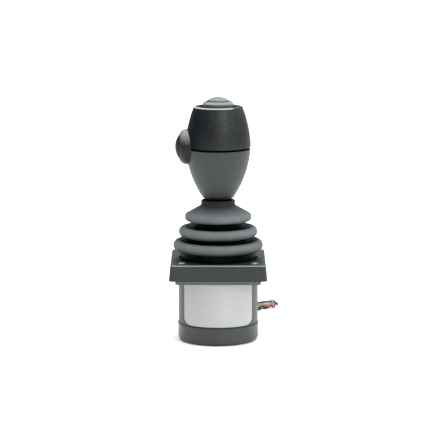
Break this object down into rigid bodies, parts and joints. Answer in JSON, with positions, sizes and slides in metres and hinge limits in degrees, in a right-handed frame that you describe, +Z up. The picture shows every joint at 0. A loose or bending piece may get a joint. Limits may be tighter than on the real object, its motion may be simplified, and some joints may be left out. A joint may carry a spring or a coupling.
{
  "type": "industrial joystick",
  "caption": "Panel joystick with a square bezel, sealed bellows, gimballed sprung stick and a handle with a thumb button on top and one on its side.",
  "frame": {"origin": "centre of the underside of the round base", "axes": "+Z up along the stick at rest; -Y the front with the label; the side button points to -X"},
  "size_m": [0.0732, 0.1179, 0.1646],
  "materials": {
    "base_plastic": "moulded, slightly glossy",
    "housing_plastic": "moulded, fine grain",
    "bezel_plastic": "moulded, satin",
    "label_plate": "matt, bare",
    "rubber": "smooth moulded rubber",
    "steel": "turned or plated",
    "magnet": "nickel plated",
    "cast_metal": "die cast",
    "bronze": "turned",
    "light_plastic": "moulded",
    "header_plastic": "moulded",
    "cone_plastic": "smooth, satin",
    "cap_plastic": "fine leather grain",
    "button_plastic": "glossy",
    "board": "solder mask",
    "leads": "thin insulated leads in several colours"
  },
  "bodies": {
    "base": {"base_cap": "base_plastic", "base_seal": "rubber", "base_screws": "steel", "housing": "housing_plastic", "label": "label_plate", "grommet": "rubber", "inner_loom": "leads", "lead_loom": "leads", "lead_coil": "leads", "lead_tie": "light_plastic", "bezel": "bezel_plastic", "bezel_screws": "steel", "gimbal_carrier": "cast_metal", "carrier_screws": "steel", "carrier_pins": "steel", "spring_seat": "steel", "return_spring": "steel", "boot_lower": "rubber", "sensor_board": "board", "hall_sensor": "light_plastic", "board_spacers": "bronze", "board_screws": "steel", "board_header": "header_plastic", "loom_plug": "header_plastic"},
    "gimbal": {"gimbal_ring": "cast_metal", "gimbal_bushes": "bronze", "boot_upper": "rubber"},
    "stick": {"shaft": "steel", "pivot_hub": "cast_metal", "stick_pins": "steel", "cross_pin": "steel", "magnet_holder": "light_plastic", "magnet": "magnet", "retaining_ring": "steel", "neck_bush": "light_plastic", "handle_insert": "bronze", "handle_nut": "steel", "handle_cone": "cone_plastic", "handle_cap": "cap_plastic", "seam_gasket": "rubber", "top_button_bezel": "button_plastic", "top_button_nut": "light_plastic", "top_switch": "light_plastic", "top_button_spring": "steel", "side_button_bezel": "button_plastic", "side_button_nut": "light_plastic", "side_switch": "light_plastic", "side_button_spring": "steel"},
    "top_button": {"top_button_cap": "button_plastic"},
    "side_button": {"side_button_cap": "button_plastic"}
  },
  "joints": [
    {"name": "tilt_x", "type": "hinge", "parent": "base", "child": "gimbal", "pos_m": [0, 0, 0.052], "axis": [1, 0, 0], "range_deg": [-18, 18], "stiffness_Nm_per_rad": 1.2, "deforming": ["boot_lower", "return_spring"]},
    {"name": "tilt_y", "type": "hinge", "parent": "gimbal", "child": "stick", "pos_m": [0, 0, 0.052], "axis": [0, 1, 0], "range_deg": [-18, 18], "stiffness_Nm_per_rad": 1.2, "deforming": ["boot_upper", "return_spring"]},
    {"name": "top_press", "type": "slide", "parent": "stick", "child": "top_button", "axis": [0, 0, -1], "range_m": [0, 0.0015], "stiffness_N_per_m": 2000, "deforming": ["top_button_spring"]},
    {"name": "side_press", "type": "slide", "parent": "stick", "child": "side_button", "axis": [1, 0, 0], "range_m": [0, 0.0015], "stiffness_N_per_m": 2000, "deforming": ["side_button_spring"]}
  ]
}
